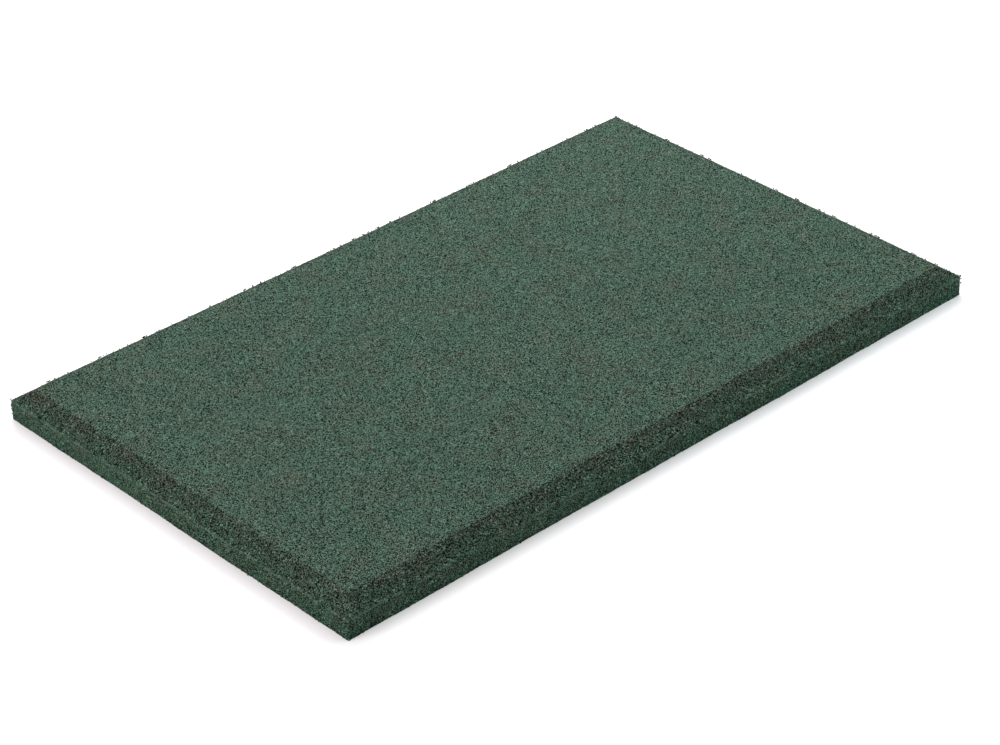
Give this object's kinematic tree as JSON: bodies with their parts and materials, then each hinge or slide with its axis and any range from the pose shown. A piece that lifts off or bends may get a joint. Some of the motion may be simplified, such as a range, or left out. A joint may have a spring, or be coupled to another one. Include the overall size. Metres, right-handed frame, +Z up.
{
  "type": "bevelled rubber stable mat",
  "caption": "Rectangular slab of bonded rubber granulate in two lifts, with upright walls, a bevel on every side and a flat, non-slip standing face.",
  "frame": {"origin": "middle of the underside, at floor level", "axes": "+X along the long side, +Y along the short side, +Z up out of the standing face"},
  "size_m": [1, 0.6, 0.04],
  "materials": {
    "base_granulate": "matte",
    "wear_granulate": "matte"
  },
  "bodies": {
    "root": {"base_layer": "base_granulate", "wear_layer": "wear_granulate"}
  },
  "joints": []
}
